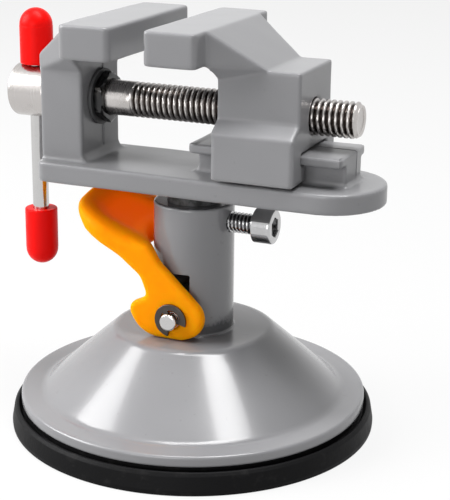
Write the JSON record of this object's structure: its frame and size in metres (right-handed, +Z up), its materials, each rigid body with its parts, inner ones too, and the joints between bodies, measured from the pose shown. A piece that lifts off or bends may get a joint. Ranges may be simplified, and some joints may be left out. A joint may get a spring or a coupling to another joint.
{
  "type": "suction base vise",
  "caption": "Small bench vise on a lever-locked suction base. Its head turns on a post, and a lead screw with a sliding handle bar drives the moving jaw along a rail.",
  "frame": {"origin": "on the table, on the axis that the vise head turns about", "axes": "+Z up; +X along the lead screw, from the fixed jaw towards the free end of the screw; +Y away from the side that the picture shows"},
  "size_m": [0.1104, 0.105, 0.1158],
  "materials": {
    "base_paint": "glossy grey enamel over a smooth casting",
    "vise_paint": "satin grey enamel over a casting",
    "cup_rubber": "matt moulded rubber",
    "plain_steel": "turned",
    "spring_steel": "drawn wire",
    "clip_steel": "stamped",
    "bright_steel": "plated and polished",
    "screw_steel": "turned and rolled thread",
    "black_steel": "black oxide",
    "lever_plastic": "smooth orange moulding",
    "cap_plastic": "glossy red dipped plastic"
  },
  "bodies": {
    "base": {"base_housing": "base_paint", "suction_cup": "cup_rubber", "release_spring": "spring_steel"},
    "stem": {"pull_stem": "plain_steel", "cup_insert": "plain_steel", "spring_seat": "plain_steel", "lever_pin": "bright_steel", "pin_clips": "clip_steel"},
    "lever": {"cam_lever": "lever_plastic"},
    "clamp": {"clamp_screw": "bright_steel"},
    "head": {"vise_bed": "vise_paint", "swivel_post": "plain_steel", "thrust_washer": "black_steel", "hub_washer": "bright_steel"},
    "jaw": {"movable_jaw": "vise_paint"},
    "screw": {"lead_screw": "screw_steel", "retaining_nut": "black_steel"},
    "handle": {"handle_bar": "bright_steel", "upper_cap": "cap_plastic", "lower_cap": "cap_plastic"}
  },
  "joints": [
    {"name": "head_turn", "type": "hinge", "parent": "base", "child": "head", "pos_m": [0, 0, 0.0655], "axis": [0, 0, 1], "continuous": true},
    {"name": "stem_lift", "type": "slide", "parent": "base", "child": "stem", "axis": [0, 0, 1], "range_m": [0, 0.0055], "deforming": ["suction_cup", "release_spring"]},
    {"name": "lever_swing", "type": "hinge", "parent": "stem", "child": "lever", "pos_m": [0, 0, 0.0345], "axis": [0, -1, 0], "range_deg": [0, 63]},
    {"name": "clamp_turn", "type": "hinge", "parent": "base", "child": "clamp", "pos_m": [0.0171, 0, 0.0603], "axis": [1, 0, 0], "range_deg": [0, 720]},
    {"name": "screw_turn", "type": "hinge", "parent": "head", "child": "screw", "pos_m": [-0.0494, 0, 0.0923], "axis": [1, 0, 0], "range_deg": [-4363.64, 2094.55]},
    {"name": "jaw_slide", "type": "slide", "parent": "head", "child": "jaw", "axis": [1, 0, 0], "range_m": [-0.0096, 0.02]},
    {"name": "handle_slide", "type": "slide", "parent": "screw", "child": "handle", "axis": [0, 0, 1], "range_m": [0, 0.0274]}
  ],
  "couplings": [
    {"joint": "stem_lift", "follows": "lever_swing", "m_per_rad": 0.005},
    {"joint": "screw_turn", "follows": "jaw_slide", "rad_per_m": -3808}
  ]
}
